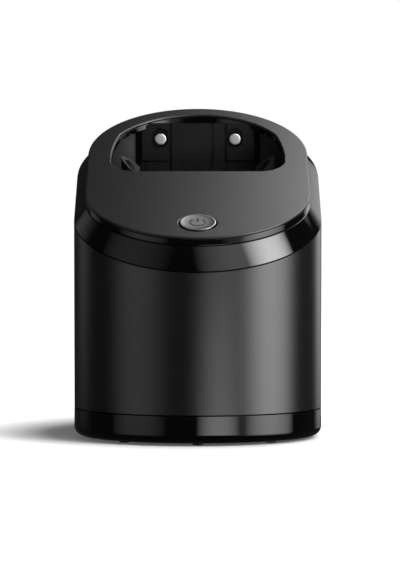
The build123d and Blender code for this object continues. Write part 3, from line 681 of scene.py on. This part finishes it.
class STATION_OT_top(bpy.types.Operator):
    """Models the sloping top plate and the gloss rim under its opening"""

    bl_idname = "station.top"
    bl_label = "Top plate"

    def execute(self, context):
        plate = stack_loops("sloping_plate", [
            (PLATE_INSET, *slope(PLATE_SLOPE, PLATE_THICK)),
            (PLATE_INSET, *slope(PLATE_SLOPE, PLATE_SKIN)),
        ], False)
        combine(plate, opening_prism(0.0))
        hole = onto_plate(oval_post(0, 0, BUTTON_HOLE, BUTTON_HOLE, -5, 5))
        combine(plate, hole)
        rounded(plate, 0.6)
        finish_piece(plate, "plate", "satin_plate", "housing", "top_plate")

        rim = stack_loops("recess_rim_gloss", [
            (2, *slope(PLATE_SLOPE, PLATE_THICK + RIM_DROP)), (2, *slope(PLATE_SLOPE, PLATE_THICK)),
        ], False)
        combine(rim, opening_prism(1.2), "INTERSECT")
        combine(rim, opening_prism(0.0))
        rounded(rim, 0.2)
        finish_piece(rim, "gloss", "gloss_black", "housing", "recess_rim")
        return {"FINISHED"}


class STATION_OT_start_button(bpy.types.Operator):
    """Models the dished start button and its symbol"""

    bl_idname = "station.start_button"
    bl_label = "Start button"

    def execute(self, context):
        bpy.ops.object.select_all(action="DESELECT")
        bpy.ops.mesh.primitive_circle_add(
            vertices=96, radius=BUTTON_RADIUS * MM, fill_type="NGON", location=(0, 0, -0.0016)
        )
        cap = place(named("start_button_cap"))
        with editing(cap, "FACE"):
            bpy.ops.mesh.select_all(action="SELECT")
            bpy.ops.mesh.extrude_region_move(TRANSFORM_OT_translate={"value": (0, 0, 0.0021)})
            for thickness, depth in ((0.9, 0), (0.35, -0.14), (2.2, -0.10), (2.6, -0.05)):
                bpy.ops.mesh.inset(thickness=thickness * MM, depth=depth * MM)
        outward(cap)
        rounded(cap, 0.22)
        stem = oval_post(0, 0, 3.0, 3.0, -7.6, -1.2, 48)
        join(cap, rounded(stem, 0.3))
        onto_plate(cap)
        finish_piece(cap, "silver", "silver_satin", "start_key", "start_button")

        bpy.ops.object.select_all(action="DESELECT")
        bpy.ops.mesh.primitive_circle_add(
            vertices=64, radius=SYMBOL_RADIUS * MM, fill_type="NOTHING"
        )
        ring = named("button_symbol_ring")
        with editing(ring, "EDGE"):
            bpy.ops.mesh.select_all(action="SELECT")
            bpy.ops.mesh.extrude_region_move()
            bpy.ops.transform.resize(value=(0.76, 0.76, 1), center_override=(0, 0, 0))
            pick(ring, "faces", lambda f: f.calc_center_median().y > 0.0028)
            bpy.ops.mesh.delete(type="FACE")
        bar = solid_box((-0.45, 0.6, -0.05), (0.45, 4.4, 0.07), 0.3, "z")
        apply_modifier(ring, "SOLIDIFY", thickness=SYMBOL_THICK * MM, offset=0)
        join(ring, bar)
        outward(ring)
        rounded(ring, 0.03, 2)
        ring.location = (0, 0, 0.00021)
        place(ring)
        onto_plate(ring)
        finish_piece(ring, "ink", "symbol_ink", "start_key", "button_symbol")
        return {"FINISHED"}


def helix(name, radius, wire, low, high, turns):
    """Coil along Z round the origin, its ends closed. Heights are those of the wire's middle."""
    bpy.ops.object.select_all(action="DESELECT")
    bpy.ops.mesh.primitive_circle_add(
        vertices=12, radius=wire / 2 * MM, fill_type="NOTHING",
        location=(radius * MM, 0, low * MM), rotation=(math.pi / 2, 0, 0),
    )
    coil = place(named(name))
    apply_modifier(
        coil, "SCREW", axis="Z", angle=2 * math.pi, iterations=turns,
        screw_offset=(high - low) / turns * MM, steps=36, render_steps=36, use_merge_vertices=False,
    )
    with editing(coil, "EDGE"):
        bpy.ops.mesh.select_all(action="DESELECT")
        bpy.ops.mesh.select_non_manifold()
        bpy.ops.mesh.fill_holes(sides=0)
    outward(coil)
    return rounded(coil, 0)


def blend_steel(coil, node):
    """Gives a spring its steel, moves its place into its mesh and hides the CAD node that it stands for.
    """
    coil.data.materials.append(Finishes.made["steel"])
    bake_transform(coil)
    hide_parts(node)


class STATION_OT_springs(bpy.types.Operator):
    """Models the lift springs and the latch spring, each as a still coil over the length of its CAD spring
    """

    bl_idname = "station.springs"
    bl_label = "Springs"

    def execute(self, context):
        low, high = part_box("lift_springs")
        radius, wire = LIFT_SPRING
        ends = low.z / MM + wire / 2, high.z / MM - wire / 2
        for side, x in (("left", -POST_X * MM), ("right", POST_X * MM)):
            coil = helix(f"lift_spring_{side}", radius, wire, *ends, LIFT_TURNS)
            coil.location = (x, POST_Y * MM, 0)
            place(coil)
            blend_steel(coil, "lift_springs")

        low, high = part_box("latch_spring")
        radius, wire = LATCH_SPRING
        middle = (low.z + high.z) / 2
        length = (high.y - low.y) / MM
        coil = helix("latch_spring_coil", radius, wire, wire / 2, length - wire / 2, LATCH_TURNS)
        coil.rotation_euler = (-math.pi / 2, 0, 0)
        coil.location = (0, low.y, middle)
        place(coil)
        blend_steel(coil, "latch_spring")
        return {"FINISHED"}


class STATION_OT_small_parts(bpy.types.Operator):
    """Models the feet and the contact pins"""

    bl_idname = "station.small_parts"
    bl_label = "Feet and contacts"

    def execute(self, context):
        feet = []
        for x, y in FOOT_SPOTS:
            foot = oval_post(x, y, FOOT_RADIUS, FOOT_RADIUS, 0, FOOT_HEIGHT, 48)
            with editing(foot, "FACE"):
                pick(foot, "faces", lambda f: f.normal.z < -0.9)
                bpy.ops.mesh.inset(thickness=0.7 * MM, depth=0)
                bpy.ops.mesh.inset(thickness=0.3 * MM, depth=-0.25 * MM)
            feet.append(rounded(foot, 0.45))
        group = join(*feet)
        group.name = group.data.name = "rubber_feet"
        finish_piece(group, "rubber", "soft_rubber", "base", "feet")
        for side, label in ((-1, "left"), (1, "right")):
            pin = oval_post(0, 0, CONTACT_RADIUS, CONTACT_RADIUS, -4.4, 1.6, 64)
            with editing(pin, "FACE"):
                pick(pin, "faces", lambda f: f.normal.z > 0.9)
                bpy.ops.mesh.inset(thickness=0.75 * MM, depth=0.12 * MM)
                bpy.ops.mesh.inset(thickness=1.2 * MM, depth=0.05 * MM)
            rounded(pin, 0.35)
            stem = rounded(oval_post(0, 0, 1.2, 1.2, -10.4, -4.3, 32), 0.2)
            join(pin, stem)
            pin.rotation_euler = (math.pi / 2, 0, 0)
            pin.location = (side * CONTACT_X * MM, CONTACT_Y * MM, CONTACT_Z * MM)
            place(pin)
            pin.name = pin.data.name = f"contact_{label}"
            finish_piece(pin, "chrome", "contact_chrome", f"{label}_contact", f"contact_pin_{label}")
        return {"FINISHED"}


# Name, azimuth (0 in front, positive to the right), elevation, width and height in degrees,
# radiance at the middle, and distance in metres.
SOFTBOXES = [
    ("low_key", 63, 2, 52, 60, 4.2, 1.3),
    ("low_fill", 45, 2, 52, 60, 0.6, 1.3),
    ("low_front", 16, -10, 34, 14, 3.4, 1.3),
    ("low_left", -50, 2, 52, 60, 0.55, 1.3),
    ("high_key", 62, 40, 33, 40, 13.0, 1.3),
    ("high_front", 32, 45, 46, 50, 1.6, 1.3),
    ("high_left", -54, 40, 46, 50, 0.33, 1.3),
    ("rear_right", 146, 8, 32, 40, 1.5, 1.3),
    ("rear_left", -122, 15, 34, 50, 0.4, 1.3),
    ("rear_glow", 140, 50, 46, 40, 6.0, 0.5),
]


def fade_to_edges(data):
    """Makes an area light brightest in the middle and dark at its edges."""
    data.use_nodes = True
    tree = data.node_tree
    across = add(tree, "ShaderNodeNewGeometry")
    parts = add(tree, "ShaderNodeSeparateXYZ")
    link(tree, across.outputs["Parametric"], parts.inputs[0])
    bumps = []
    for axis in range(2):
        rest = add(tree, "ShaderNodeMath", operation="SUBTRACT")
        rest.inputs[0].default_value = 1.0
        link(tree, parts.outputs[axis], rest.inputs[1])
        bump = add(tree, "ShaderNodeMath", operation="MULTIPLY")
        link(tree, parts.outputs[axis], bump.inputs[0])
        link(tree, rest.outputs[0], bump.inputs[1])
        bumps.append(bump)
    both = add(tree, "ShaderNodeMath", operation="MULTIPLY")
    link(tree, bumps[0].outputs[0], both.inputs[0])
    link(tree, bumps[1].outputs[0], both.inputs[1])
    scaled = add(tree, "ShaderNodeMath", operation="MULTIPLY")
    link(tree, both.outputs[0], scaled.inputs[0])
    scaled.inputs[1].default_value = 16.0
    link(tree, scaled.outputs[0], tree.nodes["Emission"].inputs["Strength"])


def softbox(name, azimuth, elevation, width, height, radiance, distance):
    """Area light that faces the station from one direction."""
    data = bpy.data.lights.new(name, "AREA")
    data.shape = "RECTANGLE"
    data.size = 2 * distance * math.tan(math.radians(width / 2))
    data.size_y = 2 * distance * math.tan(math.radians(height / 2))
    data.energy = radiance * math.pi * data.size * data.size_y
    fade_to_edges(data)
    lamp = bpy.data.objects.new(name, data)
    bpy.context.scene.collection.objects.link(lamp)
    az, el = math.radians(azimuth), math.radians(elevation)
    way = Vector((math.sin(az) * math.cos(el), -math.cos(az) * math.cos(el), math.sin(el)))
    lamp.location = LIGHT_TARGET + way * distance
    lamp.rotation_euler = (-way).to_track_quat("-Z", "Y").to_euler()


def make_world(stage):
    """White behind the station for the camera, and dim surroundings for everything else."""
    world = bpy.data.worlds.new("studio")
    bpy.context.scene.world = world
    world.use_nodes = True
    tree = world.node_tree
    background = tree.nodes["Background"]
    path = add(tree, "ShaderNodeLightPath")
    choose = add(tree, "ShaderNodeMix", data_type="FLOAT")
    link(tree, path.outputs["Is Camera Ray"], choose.inputs[0])
    choose.inputs[2].default_value = stage.surround
    choose.inputs[3].default_value = 1.0
    background.inputs["Color"].default_value = (1, 1, 1, 1)
    link(tree, choose.outputs[0], background.inputs["Strength"])


def make_floor(stage):
    """Pale floor that glows white for the camera far from the station. The glow is turned down near the
    station as a painted shadow round the base, on top of its own cast shadow.
    """
    bpy.ops.object.select_all(action="DESELECT")
    bpy.ops.mesh.primitive_plane_add(size=12, location=(0, 0, 0))
    floor = bpy.context.object
    floor.name = floor.data.name = "studio_floor"
    material, tree, shader = new_material("pale_floor")
    shader.inputs["Base Color"].default_value = (*stage.floor, 1)
    shader.inputs["Roughness"].default_value = 0.7
    path = add(tree, "ShaderNodeLightPath")
    coords = add(tree, "ShaderNodeTexCoord")
    far = add(tree, "ShaderNodeVectorMath", operation="LENGTH")
    link(tree, coords.outputs["Object"], far.inputs[0])
    # Glow by distance from the middle: low beside the station as a painted shadow, a painted pale grey
    # fringe of 0.93 at 0.12 m, then white from 0.45 m.
    rise = add(tree, "ShaderNodeValToRGB")
    steps = rise.color_ramp.elements
    steps[0].position = 0.074
    steps[0].color = (*[stage.floor_lift] * 3, 1)
    steps[1].position = 0.45
    middle = steps.new(0.12)
    middle.color = (0.93, 0.93, 0.93, 1)
    link(tree, far.outputs["Value"], rise.inputs[0])
    # Only camera rays see this painted glow and painted shadow. Other rays see the floor lit by the lamps
    # alone.
    painted_glow = add(tree, "ShaderNodeMath", operation="MULTIPLY")
    link(tree, path.outputs["Is Camera Ray"], painted_glow.inputs[0])
    link(tree, rise.outputs[0], painted_glow.inputs[1])
    shader.inputs["Emission Color"].default_value = (1, 1, 1, 1)
    link(tree, painted_glow.outputs[0], shader.inputs["Emission Strength"])
    floor.data.materials.append(material)
    floor.visible_glossy = False


def make_camera(stage):
    data = bpy.data.cameras.new("camera")
    camera = bpy.data.objects.new("camera", data)
    bpy.context.scene.collection.objects.link(camera)
    data.lens = stage.lens
    data.sensor_width = 36.0
    data.shift_x = CAMERA_SHIFT
    data.clip_start = 0.05
    data.clip_end = 60
    camera.location = (0, FRONT_AXIS_Y * MM - stage.camera_distance, stage.camera_height)
    camera.rotation_euler = (math.pi / 2 - CAMERA_TILT, 0, 0)
    bpy.context.scene.camera = camera


class STATION_OT_stage(bpy.types.Operator):
    """Sets the pale floor, the softboxes and the camera"""

    bl_idname = "station.stage"
    bl_label = "Stage"

    def execute(self, context):
        stage = context.scene.station_stage
        context.scene.view_settings.view_transform = "Standard"
        make_world(stage)
        make_floor(stage)
        for entry in SOFTBOXES:
            softbox(*entry)
        make_camera(stage)
        return {"FINISHED"}


class STATION_PT_panel(bpy.types.Panel):
    bl_idname = "STATION_PT_panel"
    bl_label = "Cleaning station"
    bl_space_type = "VIEW_3D"
    bl_region_type = "UI"
    bl_category = "Station"

    def draw(self, context):
        for operator in OPERATORS:
            self.layout.operator(operator.bl_idname)


OPERATORS = [
    STATION_OT_stage,
    STATION_OT_finishes,
    STATION_OT_outer_rings,
    STATION_OT_top,
    STATION_OT_start_button,
    STATION_OT_springs,
    STATION_OT_small_parts,
]
CLASSES = [StationColours, StationStage, *OPERATORS, STATION_PT_panel]


def register():
    for entry in CLASSES:
        bpy.utils.register_class(entry)
    bpy.types.Scene.station_colours = PointerProperty(type=StationColours)
    bpy.types.Scene.station_stage = PointerProperty(type=StationStage)


def unregister():
    del bpy.types.Scene.station_stage
    del bpy.types.Scene.station_colours
    for entry in reversed(CLASSES):
        bpy.utils.unregister_class(entry)


def main():
    register()
    for operator in OPERATORS:
        family, name = operator.bl_idname.split(".")
        getattr(getattr(bpy.ops, family), name)()


if __name__ == "__main__":
    main()
